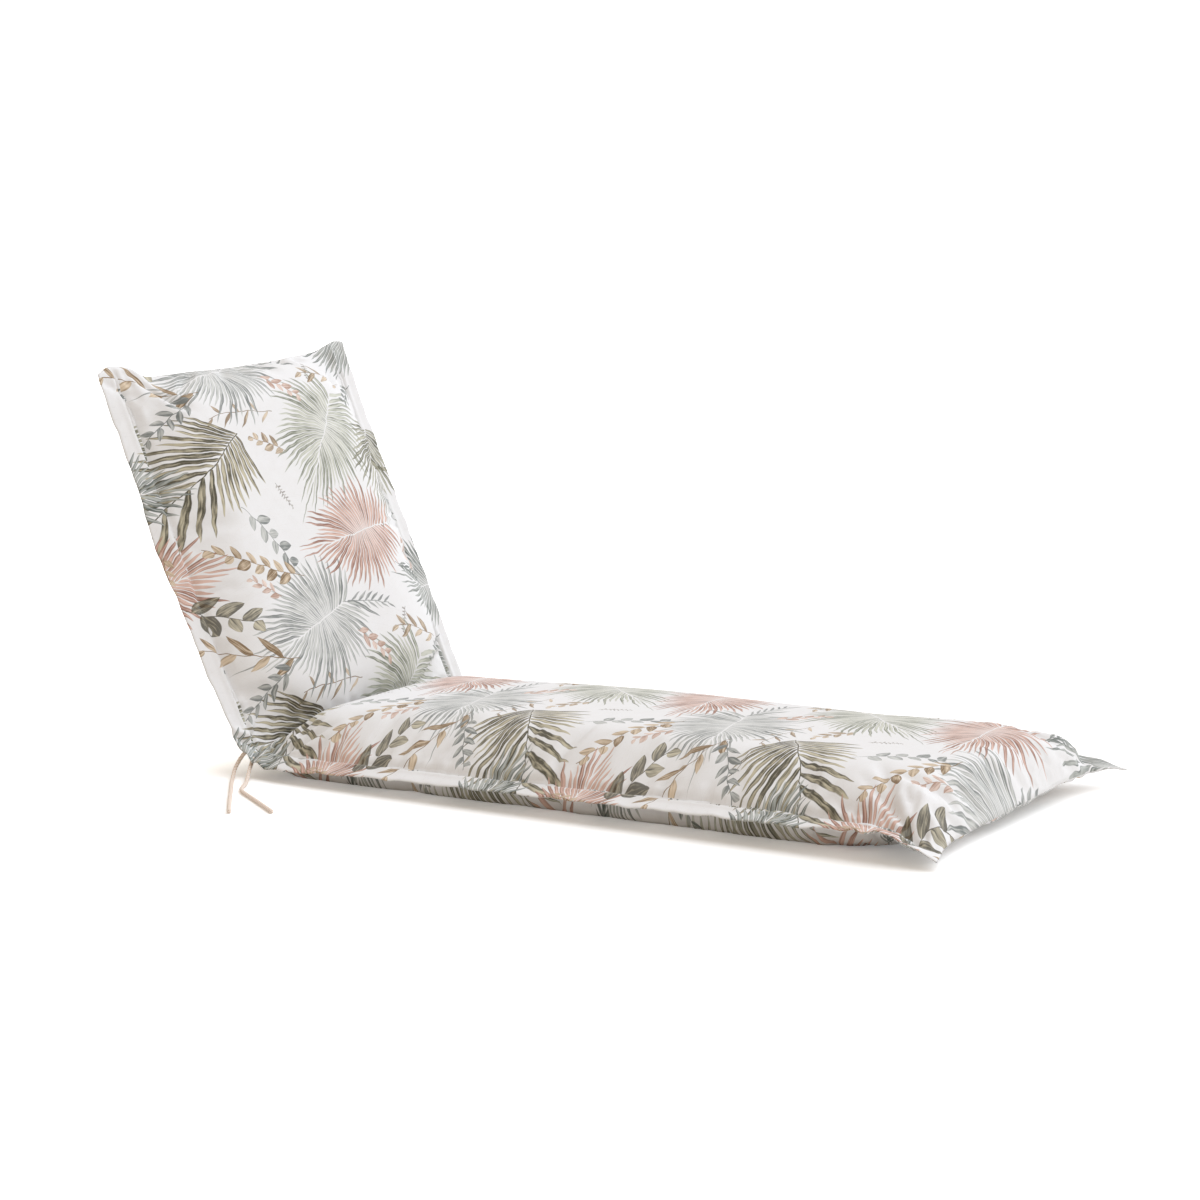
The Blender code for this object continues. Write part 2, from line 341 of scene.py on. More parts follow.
class LeafPrint:
    """The printed repeat as node groups: a leaf, a stem, a palm leaf and the chart."""

    def __init__(self) -> None:
        """Make the groups once, so that every material can share them."""
        self.leaf = self.make_leaf()
        self.sprigs = {habit: self.make_sprig(habit) for habit in Habit}

    def group(self, name: str, inputs: Sequence[tuple], outputs: Sequence[tuple]) -> tuple[NodeSheet, dict]:
        """Start a node group.

        Args:
            name: the group's name.
            inputs: rows of socket name and socket type.
            outputs: the same for what it gives.

        Returns:
            The group's sheet and its input sockets by name.
        """
        tree = bpy.data.node_groups.new(name, "ShaderNodeTree")
        for in_out, sockets in (("INPUT", inputs), ("OUTPUT", outputs)):
            for label, kind in sockets:
                tree.interface.new_socket(label, in_out=in_out, socket_type=kind)
        sheet = NodeSheet(tree)
        inlet = sheet.add("NodeGroupInput")
        return sheet, {label: inlet.outputs[label] for label, _ in inputs}

    def make_leaf(self) -> bpy.types.NodeTree:
        """One painted leaf from its own coordinates.

        The half width is the full width times (4r(1 - r))^blunt, where r is
        the share of the way from root to tip to the power 0.75, and no more
        than the limit that leaves a white gap to the next leaf. The tone
        starts from the leaf's mood and grows towards the outline and, by fade,
        towards the root. The middle vein and the brush streaks come on top.

        Returns:
            The node group, with Mask and Tone as outputs.
        """
        names = (
            "aside", "along", "leaf", "width", "blunt", "limit", "mood", "fade", "wash", "vein", "streak",
        )
        sheet, known = self.group(
            "painted leaf", [(name, FLOAT) for name in names], [("Mask", FLOAT), ("Tone", FLOAT)],
        )
        sheet.rows(known, (
            ("run", SUM, "DIVIDE", "along", "leaf"),
            ("far", SUM, "MAXIMUM", "run", 0.0),
            ("r", SUM, "POWER", "far", 0.75),
            ("left", SUM, "SUBTRACT", 1.0, "r"),
            ("both", SUM, "MULTIPLY", "r", "left"),
            ("open", SUM, "MAXIMUM", "both", 0.0),
            ("bell", SUM, "MULTIPLY", "open", 4.0),
            ("shape", SUM, "POWER", "bell", "blunt"),
            ("full", SUM, "MULTIPLY", "shape", "width"),
            ("half", SUM, "MINIMUM", "full", "limit"),
            ("inside", SUM, "SUBTRACT", "half", "aside"),
            ("cover", SUM, "MULTIPLY_ADD", "inside", 1.6, 0.2),
            ("low", SUM, "MAXIMUM", "cover", 0.0),
            ("mask", SUM, "MINIMUM", "low", 1.0),
            ("safe", SUM, "MAXIMUM", "half", 0.3),
            ("across", SUM, "DIVIDE", "aside", "safe"),
            ("rim", SUM, "POWER", "across", 3.0),
            ("rimmed", SUM, "MULTIPLY_ADD", "rim", 0.50, "mood"),
            ("rooted", SUM, "MULTIPLY", "left", "fade"),
            ("pooled", SUM, "ADD", "rimmed", "rooted"),
            ("washed", SUM, "MULTIPLY", "pooled", "wash"),
            ("middle", SUM, "LESS_THAN", "aside", 0.45),
            ("veined", SUM, "MULTIPLY_ADD", "middle", "vein", "washed"),
            ("tone", SUM, "ADD", "veined", "streak"),
        ))
        sheet.add("NodeGroupOutput", {"Mask": known["mask"], "Tone": known["tone"]})
        return sheet.tree

    def make_sprig(self, habit: Habit) -> bpy.types.NodeTree:
        """A stem or a palm leaf, laid over the colour below it.

        On a stem, a point is slid back along its leaf's slant to the stem, and
        the stem is cut into equal cells, one leaf to each and side. On a palm
        leaf the cells are equal angles about a spot behind the rib, and a
        leaflet starts where its ray crosses the rib. Each cell is dealt its
        own size and tone by noise.

        Args:
            habit: how the leaves are carried.

        Returns:
            The node group, with the new colour as output.
        """
        floats = [
            "root_s", "root_t", "heading", "leaf", "width", "pitch", "bend", "taper", "blunt",
            "strength", "rib", "fade", "vein", "wash",
        ]
        stem = habit is Habit.ALONG_STEM
        floats += ["length", "slant", "offset"] if stem else ["depth", "first", "last", "curl"]
        sheet, known = self.group(
            f"{habit.value} print",
            [("cloth", VECTOR), ("below", COLOUR), ("light", COLOUR), ("dark", COLOUR)]
            + [(name, FLOAT) for name in floats],
            [("Colour", COLOUR), ("Cloth", VECTOR)],
        )
        half_repeat = (REPEAT_S / 2, REPEAT_T / 2, 1.0)
        sheet.rows(known, (
            ("root", "ShaderNodeCombineXYZ", None, "root_s", "root_t", 0.0),
            ("away", VEC, "SUBTRACT", "cloth", "root"),
            ("local", VEC, "WRAP", "away", half_repeat, tuple(-size for size in half_repeat)),
            ("back", SUM, "MULTIPLY", "heading", -1.0),
        ))
        turned = sheet.add(
            "ShaderNodeVectorRotate", {"Vector": known["local"], "Angle": known["back"]},
            rotation_type="Z_AXIS",
        )
        parts = sheet.add("ShaderNodeSeparateXYZ", {0: turned.outputs[0]})
        known["x"], known["flat_y"] = parts.outputs[0], parts.outputs[1]
        sheet.rows(known, (
            ("xx", SUM, "MULTIPLY", "x", "x"),
            ("bow", SUM, "MULTIPLY", "xx", "bend"),
            ("bowed", SUM, "DIVIDE", "bow", -100.0),
            ("y", SUM, "ADD", "flat_y", "bowed"),
            ("side", SUM, "SIGN", "y"),
            ("v", SUM, "ABSOLUTE", "y"),
        ))
        if stem:
            sheet.rows(known, (
                ("tan", SUM, "TANGENT", "slant"),
                ("sin", SUM, "SINE", "slant"),
                ("cos", SUM, "COSINE", "slant"),
                ("slid", SUM, "DIVIDE", "v", "tan"),
                ("foot", SUM, "SUBTRACT", "x", "slid"),
                ("steps", SUM, "DIVIDE", "foot", "pitch"),
                ("count", SUM, "MULTIPLY_ADD", "side", "offset", "steps"),
                ("cell", SUM, "FLOOR", "count"),
                ("within", SUM, "SUBTRACT", "count", "cell"),
                ("off", SUM, "SUBTRACT", "within", 0.5),
                ("a", SUM, "MULTIPLY", "off", "pitch"),
                ("gap", SUM, "ABSOLUTE", "a"),
                ("aside", SUM, "MULTIPLY", "gap", "sin"),
                ("sway", SUM, "MULTIPLY", "a", "sin"),
                ("out", SUM, "DIVIDE", "v", "sin"),
                ("along", SUM, "MULTIPLY_ADD", "a", "cos", "out"),
                ("place", SUM, "SUBTRACT", "foot", "a"),
                ("q", SUM, "DIVIDE", "place", "length"),
                ("q_low", SUM, "GREATER_THAN", "q", 0.06),
                ("q_high", SUM, "LESS_THAN", "q", 1.0),
                ("valid", SUM, "MULTIPLY", "q_low", "q_high"),
                ("x_low", SUM, "GREATER_THAN", "x", 0.0),
                ("x_high", SUM, "LESS_THAN", "x", "length"),
                ("on_rib", SUM, "MULTIPLY", "x_low", "x_high"),
                ("thin", SUM, "LESS_THAN", "v", 0.55),
                ("line", SUM, "MULTIPLY", "thin", "on_rib"),
                ("room", SUM, "MULTIPLY", "pitch", "sin"),
                ("limit", SUM, "MULTIPLY_ADD", "room", 0.5, -0.4),
            ))
        else:
            sheet.rows(known, (
                ("deep", SUM, "ADD", "v", "depth"),
                ("angle", SUM, "ARCTAN2", "deep", "x"),
                ("square", SUM, "MULTIPLY_ADD", "deep", "deep", "xx"),
                ("radius", SUM, "SQRT", "square"),
                ("outward", SUM, "DIVIDE", "v", "deep"),
                ("beyond", SUM, "MULTIPLY", "radius", "outward"),
                ("curled", SUM, "MULTIPLY", "beyond", "curl"),
                ("turn", SUM, "MULTIPLY_ADD", "curled", 0.01, "angle"),
                ("step", SUM, "MULTIPLY", "pitch", math.pi / 180.0),
                ("steps", SUM, "DIVIDE", "turn", "step"),
                ("count", SUM, "MULTIPLY_ADD", "side", 0.25, "steps"),
                ("cell", SUM, "FLOOR", "count"),
                ("within", SUM, "SUBTRACT", "count", "cell"),
                ("off", SUM, "SUBTRACT", "within", 0.5),
                ("a", SUM, "MULTIPLY", "off", "step"),
                ("middle", SUM, "SUBTRACT", "turn", "a"),
                ("off_sin", SUM, "SINE", "a"),
                ("off_cos", SUM, "COSINE", "a"),
                ("sway", SUM, "MULTIPLY", "radius", "off_sin"),
                ("aside", SUM, "ABSOLUTE", "sway"),
                ("reach", SUM, "MULTIPLY", "radius", "off_cos"),
                ("mid_sin", SUM, "SINE", "middle"),
                ("begin", SUM, "DIVIDE", "depth", "mid_sin"),
                ("along", SUM, "SUBTRACT", "reach", "begin"),
                ("low_ok", SUM, "GREATER_THAN", "middle", "first"),
                ("high_ok", SUM, "LESS_THAN", "middle", "last"),
                ("valid", SUM, "MULTIPLY", "low_ok", "high_ok"),
                ("from_first", SUM, "SUBTRACT", "middle", "first"),
                ("range", SUM, "SUBTRACT", "last", "first"),
                ("part", SUM, "DIVIDE", "from_first", "range"),
                ("q", SUM, "MULTIPLY_ADD", "part", 1.8, -0.8),
                ("ray_ok", SUM, "GREATER_THAN", "angle", "first"),
                ("ray_end", SUM, "LESS_THAN", "angle", "last"),
                ("on_rib", SUM, "MULTIPLY", "ray_ok", "ray_end"),
                ("thin", SUM, "LESS_THAN", "v", 0.8),
                ("line", SUM, "MULTIPLY", "thin", "on_rib"),
                ("room", SUM, "MULTIPLY", "radius", "step"),
                ("limit", SUM, "MULTIPLY_ADD", "room", 0.5, -0.45),
            ))
        known["seed"] = sheet.add(
            "ShaderNodeCombineXYZ", {0: known["cell"], 1: known["side"], 2: known["root_s"]},
        ).outputs[0]
        known["chance"] = sheet.add("ShaderNodeTexWhiteNoise", {"Vector": known["seed"]}).outputs["Value"]
        sheet.rows(known, (
            ("qq", SUM, "MULTIPLY", "q", "q"),
            ("shrink", SUM, "MULTIPLY", "qq", "taper"),
            ("size_a", SUM, "SUBTRACT", 1.0, "shrink"),
            ("luck", SUM, "MULTIPLY_ADD", "chance", 0.34, 0.74),
            ("size", SUM, "MULTIPLY", "size_a", "luck"),
            ("leaf_now", SUM, "MULTIPLY", "size", "leaf"),
            ("wide", SUM, "MULTIPLY_ADD", "size", 0.5, 0.5),
            ("width_now", SUM, "MULTIPLY", "wide", "width"),
            ("mood_a", SUM, "MULTIPLY_ADD", "chance", 0.85, 0.08),
            ("half_side", SUM, "SIGN", "sway"),
            ("mood", SUM, "MULTIPLY_ADD", "half_side", 0.10, "mood_a"),
            ("lane", SUM, "MULTIPLY", "sway", 0.55),
            ("run", SUM, "MULTIPLY", "along", 0.045),
            ("deal", SUM, "MULTIPLY", "chance", 90.0),
            ("brush", "ShaderNodeCombineXYZ", None, "lane", "run", "deal"),
        ))
        stroke = sheet.add("ShaderNodeTexNoise", {"Vector": known["brush"], "Scale": 1.0, "Detail": 1.0})
        known["stroke"] = stroke.outputs[0]
        sheet.rows(known, (("streak", SUM, "MULTIPLY_ADD", "stroke", 2.2, -1.1),))
        leaf = sheet.add("ShaderNodeGroup", node_tree=self.leaf)
        for name, source in (
            ("aside", "aside"), ("along", "along"), ("leaf", "leaf_now"), ("width", "width_now"),
            ("blunt", "blunt"), ("limit", "limit"), ("mood", "mood"), ("fade", "fade"), ("wash", "wash"),
            ("vein", "vein"), ("streak", "streak"),
        ):
            sheet.tree.links.new(known[source], leaf.inputs[name])
        known["mask"], known["tone"] = leaf.outputs["Mask"], leaf.outputs["Tone"]
        sheet.rows(known, (
            ("grown", SUM, "MULTIPLY", "mask", "valid"),
            ("ribbed", SUM, "MULTIPLY_ADD", "line", "rib", "grown"),
            ("drawn", SUM, "MINIMUM", "ribbed", 1.0),
            ("kept", SUM, "MAXIMUM", "drawn", 0.0),
            ("amount", SUM, "MULTIPLY", "kept", "strength"),
        ))
        dye = sheet.add(
            "ShaderNodeMix", {0: known["tone"], 6: known["light"], 7: known["dark"]}, data_type="RGBA",
        )
        laid = sheet.add(
            "ShaderNodeMix", {0: known["amount"], 6: known["below"], 7: dye.outputs[2]}, data_type="RGBA",
        )
        # A shift of a millionth of a millimetre, so that one sprig is worked out
        # after the other and the renderer never holds them all at once
        known["laid"] = laid.outputs[2]
        sheet.rows(known, (
            ("on", VEC, "MULTIPLY_ADD", "laid", (1e-6, 1e-6, 1e-6), "cloth"),
        ))
        sheet.add("NodeGroupOutput", {"Colour": known["laid"], "Cloth": known["on"]})
        return sheet.tree

    def lay(self, sheet: NodeSheet, cloth: bpy.types.NodeSocket, wash: bpy.types.NodeSocket,
            ground: bpy.types.NodeSocket) -> bpy.types.NodeSocket:
        """Lay every sprig of the chart over the ground colour.

        Args:
            sheet: the material's sheet.
            cloth: place on the flat cloth, in millimetres.
            wash: how strongly the dye has taken there.
            ground: the colour of the bare cloth.

        Returns:
            The printed colour.
        """
        colour = ground
        for sprig in LEAF_CHART:
            light, dark = sprig.ink.value
            values = {
                "cloth": cloth, "below": colour, "wash": wash, "light": linear(light), "dark": linear(dark),
            }
            for name, value in vars(sprig).items():
                if name not in ("ink", "habit"):
                    angle = name in ("heading", "slant", "first", "last")
                    values[name] = math.radians(value) if angle else value
            node = sheet.add("ShaderNodeGroup", node_tree=self.sprigs[sprig.habit])
            for name, value in values.items():
                if isinstance(value, bpy.types.NodeSocket):
                    sheet.tree.links.new(value, node.inputs[name])
                else:
                    node.inputs[name].default_value = value
            colour, cloth = node.outputs["Colour"], node.outputs["Cloth"]
        return colour


@dataclass(frozen=True)
class PrintedCotton:
    """Plain-weave cotton cloth, printed, unglazed: matt, with a faint slub."""

    name: str = "printed plain-weave cotton"
    cream: str = "#E6E6E7"
    shade: str = "#E0DFDE"
    # Real threads are about 0.5 mm apart and can't show; drawn at 2.4 mm
    thread: float = 2.4
    roughness: float = 0.88

    def make(self) -> bpy.types.Material:
        """Build the material on the cloth's own UV map, which is in metres.

        Returns:
            The material.
        """
        material = bpy.data.materials.new(self.name)
        material.use_nodes = True
        sheet = NodeSheet(material.node_tree)
        place = sheet.add("ShaderNodeUVMap", uv_map="cloth")
        cloth = sheet.add(VEC, {0: place.outputs[0], 1: (1000.0, 1000.0, 0.0)}, operation="MULTIPLY")
        blot = sheet.add("ShaderNodeTexNoise", {
            "Vector": cloth.outputs[0], "Scale": 0.055, "Detail": 3.0, "Roughness": 0.6,
        })
        waver = sheet.add(
            "ShaderNodeTexNoise", {"Vector": cloth.outputs[0], "Scale": 0.034, "Detail": 1.0},
        )
        known = {
            "cloth": cloth.outputs[0], "blot": blot.outputs[0], "waver": waver.outputs["Color"],
        }
        sheet.rows(known, (
            ("centred", VEC, "SUBTRACT", "waver", (0.5, 0.5, 0.5)),
            ("drift", VEC, "MULTIPLY", "centred", (9.0, 9.0, 0.0)),
            ("hand", VEC, "ADD", "cloth", "drift"),
            ("wash", SUM, "MULTIPLY_ADD", "blot", 1.6, 0.05),
        ))
        ground = sheet.add(
            "ShaderNodeMix",
            {0: known["blot"], 6: linear(self.cream), 7: linear(self.shade)},
            data_type="RGBA",
        )
        colour = LeafPrint().lay(sheet, known["hand"], known["wash"], ground.outputs[2])
        parts = sheet.add("ShaderNodeSeparateXYZ", {0: cloth.outputs[0]})
        known.update(u=parts.outputs[0], w=parts.outputs[1])
        turn = 2 * math.pi / self.thread
        sheet.rows(known, (
            ("warp_a", SUM, "MULTIPLY", "u", turn),
            ("warp", SUM, "SINE", "warp_a"),
            ("weft_a", SUM, "MULTIPLY", "w", turn),
            ("weft", SUM, "SINE", "weft_a"),
            ("woven", SUM, "MULTIPLY", "warp", "weft"),
        ))
        slub = sheet.add(
            "ShaderNodeTexNoise", {"Vector": cloth.outputs[0], "Scale": 0.35, "Detail": 3.0},
        )
        known["slub"] = slub.outputs[0]
        sheet.rows(known, (("relief", SUM, "MULTIPLY_ADD", "woven", 0.10, "slub"),))
        bump = sheet.add("ShaderNodeBump", {"Strength": 0.12, "Distance": 0.0006, "Height": known["relief"]})
        shader = sheet.add("ShaderNodeBsdfPrincipled", {
            "Base Color": colour, "Roughness": self.roughness, "Sheen Weight": 0.12,
            "Sheen Roughness": 0.5, "Specular IOR Level": 0.25, "Normal": bump.outputs[0],
        })
        sheet.add("ShaderNodeOutputMaterial", {"Surface": shader.outputs[0]})
        return material


@dataclass(frozen=True)
class SoftCord:
    """Spun cotton cord, three strands laid up: soft, matt and slightly fuzzy."""

    name: str = "laid cotton cord"
    light: str = "#F0E3D8"
    # The browner colour is painted shade in the lay's grooves, with some random fuzz tone
    dark: str = "#D9C3AE"
    roughness: float = 0.92
    lay_length: float = 0.020

    def make(self) -> bpy.types.Material:
        """Build the material: paler on the strands, browner in the lay between them, which is painted shade.

        Returns:
            The material.
        """
        material = bpy.data.materials.new(self.name)
        material.use_nodes = True
        sheet = NodeSheet(material.node_tree)
        place = sheet.add("ShaderNodeUVMap", uv_map="cord")
        parts = sheet.add("ShaderNodeSeparateXYZ", {0: place.outputs[0]})
        known = {"around": parts.outputs[0], "along": parts.outputs[1], "uv": place.outputs[0]}
        sheet.rows(known, (
            ("lay", SUM, "MULTIPLY_ADD", "along", 1.0 / self.lay_length, "around"),
            ("turns", SUM, "MULTIPLY", "lay", 6 * math.pi),
            ("wave", SUM, "COSINE", "turns"),
            # Painted shade: the lay's grooves, where the relief is lowest, go towards the browner colour
            ("groove", SUM, "MULTIPLY_ADD", "wave", -0.5, 0.5),
            ("deep", SUM, "POWER", "groove", 2.5),
        ))
        fuzz = sheet.add("ShaderNodeTexNoise", {"Vector": known["uv"], "Scale": 700.0, "Detail": 2.0})
        known["fuzz"] = fuzz.outputs[0]
        sheet.rows(known, (
            ("relief", SUM, "MULTIPLY_ADD", "fuzz", 0.6, "wave"),
            # Painted groove shade plus random fuzz tone sets how brown the cord is
            ("soil", SUM, "MULTIPLY_ADD", "fuzz", 0.35, "deep"),
            ("tone", SUM, "MULTIPLY", "soil", 0.75),
        ))
        colour = sheet.add(
            "ShaderNodeMix",
            {0: known["tone"], 6: linear(self.light), 7: linear(self.dark)},
            data_type="RGBA",
        )
        bump = sheet.add("ShaderNodeBump", {"Strength": 0.5, "Distance": 0.0006, "Height": known["relief"]})
        shader = sheet.add("ShaderNodeBsdfPrincipled", {
            "Base Color": colour.outputs[2], "Roughness": self.roughness, "Sheen Weight": 0.2,
            "Specular IOR Level": 0.2, "Normal": bump.outputs[0],
        })
        sheet.add("ShaderNodeOutputMaterial", {"Surface": shader.outputs[0]})
        return material


@dataclass
class LoungerForm:
    """The cushion's shape: a map from the flat cloth to where it lies.

    s runs along the cushion from the top seam, t across it, near side
    negative. All sizes are in metres, and +X is measured from the fold line
    until fold_x is added at the end.
    """

    fold_x: float
    width: float = 0.530
    flange: float = 0.030
    back_length: float = 0.604
    seat_length: float = 1.139
    back_angle: float = math.radians(66.6)
    cloth: float = 0.0032
    fold_half: float = 0.016
    seat_crown: tuple = (
        (0.0, 0.054), (0.2, 0.056), (0.35, 0.059), (0.5, 0.060), (0.8, 0.053), (1.0, 0.049), (1.139, 0.046),
    )
    seat_below: float = 0.062
    back_crown: float = 0.046
    back_below: float = 0.042
    side_run: float = 0.180
    below_run: float = 0.070
    side_power: float = 3.0
    near_side_run: float = 0.140
    near_side_power: float = 3.3
    far_foot_run: float = 0.095
    foot_run: float = 0.068
    far_end_run: float = 0.050
    foot_below_run: float = 0.24
    foot_power: float = 2.9
    top_run: float = 0.110
    top_power: float = 2.3
    fold_run: float = 0.115
    seat_fold_run: float = 0.125
    fold_power: float = 2.3
    pinch_near: float = 0.009
    pinch_far: float = 0.001
    pinch_on_back: float = 0.200
    pinch_on_seat: float = 0.060
    top_spread: float = 0.006
    spread_reach: float = 0.060
    # Stitched line: a groove with a raised lip on each side of it
    groove_depth: float = 0.0022
    groove_reach: float = 0.0026
    lip_height: float = 0.0012
    lip_gap: float = 0.0065
    lip_reach: float = 0.0035
    # Loose flange edge: wave length, share, near phase, far phase
    edge_waves: tuple = ((0.083, 1.0, 0.4, 2.1), (0.051, 0.8, 1.9, 0.3), (0.029, 0.5, 0.0, 1.0))
    wave_height: float = 0.0007
    flange_fall: float = 0.007
    # End seams: place across, and how far each stands past the panel's length
    top_seam: tuple = (
        (-0.265, -0.006), (-0.243, 0.004), (-0.205, 0.000), (-0.177, -0.019), (-0.090, -0.018),
        (0.000, -0.020), (0.095, -0.018), (0.190, -0.011), (0.245, 0.006), (0.265, 0.002),
    )
    foot_seam: tuple = (
        (-0.265, 0.000), (-0.245, -0.006), (-0.215, -0.018), (-0.170, -0.026), (0.000, -0.029),
        (0.170, -0.030), (0.215, -0.025), (0.245, -0.008), (0.265, 0.007),
    )
    # Seat sides: x, near stitch, near edge, far stitch, far edge above the ground
    seat_sides: tuple = (
        (0.000, 0.0360, 0.0330, 0.0500, 0.0520), (0.018, 0.0345, 0.0275, 0.0470, 0.0460),
        (0.038, 0.0335, 0.0195, 0.0440, 0.0420), (0.062, 0.0328, 0.0165, 0.0420, 0.0370),
        (0.095, 0.0320, 0.0180, 0.0390, 0.0300), (0.160, 0.0335, 0.0210, 0.0380, 0.0280),
        (0.250, 0.0350, 0.0250, 0.0380, 0.0270), (0.520, 0.0380, 0.0285, 0.0390, 0.0290),
        (0.800, 0.0405, 0.0320, 0.0400, 0.0310), (0.950, 0.0400, 0.0330, 0.0390, 0.0310),
        (1.020, 0.0380, 0.0370, 0.0370, 0.0330), (1.065, 0.0340, 0.0395, 0.0370, 0.0400),
        (1.105, 0.0160, 0.0290, 0.0260, 0.0370), (1.139, 0.0120, 0.0110, 0.0300, 0.0230),
    )
    # Folds of the upper cloth: s, t, degrees from the length, length, width, height
    folds: tuple = (
        (1.655, -0.205, -28.0, 0.090, 0.008, -0.0090), (1.640, -0.175, -48.0, 0.080, 0.008, -0.0070),
        (1.672, -0.160, -10.0, 0.060, 0.008, -0.0060), (1.610, -0.222, -12.0, 0.070, 0.007, -0.0055),
        (1.690, -0.080, 4.0, 0.055, 0.009, -0.0055), (1.690, -0.010, -5.0, 0.050, 0.009, -0.0045),
        (1.688, 0.070, 6.0, 0.060, 0.009, -0.0055), (1.680, 0.150, 14.0, 0.065, 0.008, -0.0060),
        (1.668, 0.195, 34.0, 0.085, 0.009, -0.0080), (0.660, -0.185, 52.0, 0.085, 0.010, -0.0080),
        (0.690, -0.215, 30.0, 0.080, 0.008, -0.0060), (0.550, -0.195, -45.0, 0.080, 0.010, -0.0060),
        (0.045, 0.200, -42.0, 0.090, 0.009, -0.0070), (0.050, -0.185, 40.0, 0.085, 0.009, -0.0065),
        (1.662, -0.232, -62.0, 0.045, 0.004, -0.0050), (1.648, -0.226, -74.0, 0.048, 0.004, -0.0055),
        (1.634, -0.224, -82.0, 0.046, 0.004, -0.0050), (1.619, -0.224, -88.0, 0.042, 0.004, -0.0045),
        (1.602, -0.226, -96.0, 0.036, 0.004, -0.0035), (1.704, -0.150, 12.0, 0.050, 0.005, -0.0045),
        (1.704, -0.120, 2.0, 0.046, 0.005, -0.0040), (1.702, -0.045, -6.0, 0.044, 0.005, -0.0040),
        (1.702, 0.030, 3.0, 0.046, 0.005, -0.0040), (1.700, 0.110, 9.0, 0.048, 0.005, -0.0045),
        (0.640, -0.225, 72.0, 0.050, 0.005, -0.0045), (0.668, -0.228, 84.0, 0.045, 0.005, -0.0035),
    )
    # Crumples of the flanges and corners, both cloths together: the same six numbers
    crumples: tuple = (
        (0.604, -0.256, -40.0, 0.060, 0.005, 0.0050), (0.618, -0.250, -62.0, 0.050, 0.005, -0.0050),
        (0.592, -0.252, 35.0, 0.055, 0.005, -0.0045), (0.578, -0.250, 55.0, 0.050, 0.006, 0.0035),
        (0.634, -0.252, -78.0, 0.050, 0.006, 0.0035), (0.655, -0.254, 86.0, 0.050, 0.007, -0.0030),
        (0.680, -0.252, -84.0, 0.045, 0.007, 0.0022), (0.270, -0.265, 2.0, 0.090, 0.012, -0.0080),
        (0.330, -0.262, -6.0, 0.060, 0.008, -0.0040), (1.628, -0.262, 24.0, 0.020, 0.004, 0.0016),
        (1.612, -0.262, -30.0, 0.018, 0.004, -0.0016), (1.646, -0.258, 40.0, 0.024, 0.004, -0.0020),
        (1.592, -0.262, 18.0, 0.020, 0.004, 0.0014), (1.668, -0.256, 46.0, 0.030, 0.005, 0.0030),
        (1.700, -0.248, 62.0, 0.050, 0.007, -0.0045), (0.035, 0.245, -35.0, 0.060, 0.006, -0.0045),
        (0.030, -0.246, 42.0, 0.060, 0.006, -0.0040), (1.700, 0.246, -48.0, 0.060, 0.008, -0.0040),
    )

    @property
    def half(self) -> float:
        """Half the cover's width."""
        return self.width / 2

    @property
    def stitch(self) -> float:
        """How far the stitched line is from the middle."""
        return self.half - self.flange

    @property
    def length(self) -> float:
        """The cloth's whole length."""
        return self.back_length + self.seat_length

    def seam_path(self, s: Array) -> tuple[Array, Array, Array]:
        """The seam sheet's middle line: straight up the backrest, an arc at the fold, level.

        Args:
            s: places along the cloth.

        Returns:
            x, z and the heading at each place.
        """
        along = s - self.back_length
        turn = np.clip((along + self.fold_half) / (2 * self.fold_half), 0.0, 1.0)
        heading = -self.back_angle * (1.0 - turn)
        radius = 2 * self.fold_half / self.back_angle
        beyond = np.maximum(-self.fold_half - along, 0.0)
        x = self.fold_half + radius * np.sin(heading) - beyond * math.cos(self.back_angle)
        z = radius * (1.0 - np.cos(heading)) + beyond * math.sin(self.back_angle)
        on_seat = along >= self.fold_half
        return np.where(on_seat, along, x), np.where(on_seat, 0.0, z), heading

    def seat_side(self, x: Array, t: Array) -> Array:
        """Height of the seam sheet at a station.

        Between the stitched lines it eases from the near one's height to the
        far one's, and on the flanges it slopes to their edges.

        Args:
            x: distance from the fold line, 0 on the backrest.
            t: places across the cloth.

        Returns:
            Height above the ground, in metres.
        """
        near_stitch, near_edge, far_stitch, far_edge = (
            soft_table(x, self.seat_sides, column, 0.012) for column in range(1, 5)
        )
        near = t < 0
        stitch = np.where(near, near_stitch, far_stitch)
        edge = np.where(near, near_edge, far_edge)
        outside = (np.abs(t) - self.stitch) / self.flange
        across = ease(0.5 + 0.5 * t / self.stitch)
        level = near_stitch + (far_stitch - near_stitch) * across
        return np.where(outside > 0, stitch + (edge - stitch) * outside, level)

    def across_width(self, s: Array, t: Array) -> Array:
        """The seam sheet's y, gathered in at the fold and spread at the top corners.

        Args:
            s: places along the cloth.
            t: places across it.

        Returns:
            y at each place, in metres.
        """
        pinch = np.where(t < 0, self.pinch_near, self.pinch_far)
        reach = np.where(s > self.back_length, self.pinch_on_seat, self.pinch_on_back)
        gather = pinch * np.exp(-(((s - self.back_length) / reach) ** 2))
        spread = self.top_spread * np.exp(-((s / self.spread_reach) ** 2))
        return t * (1.0 - (gather - spread) / self.half)

    def creased(self, s: Array, t: Array, creases: Sequence[Sequence[float]]) -> Array:
        """Sum of creases, each a bell along and across its own line.

        Args:
            s: places along the cloth.
            t: places across it.
            creases: rows of s, t, degrees, length, width and height.

        Returns:
            The height that they add.
        """
        middle_s, middle_t, degrees, length, width, height = (
            np.array(column)[:, None, None] for column in zip(*creases)
        )
        turn = np.radians(degrees)
        ahead = (s - middle_s) * np.cos(turn) + (t - middle_t) * np.sin(turn)
        aside = (t - middle_t) * np.cos(turn) - (s - middle_s) * np.sin(turn)
        return (height * np.exp(-((2 * ahead / length) ** 2) - (aside / width) ** 2)).sum(axis=0)

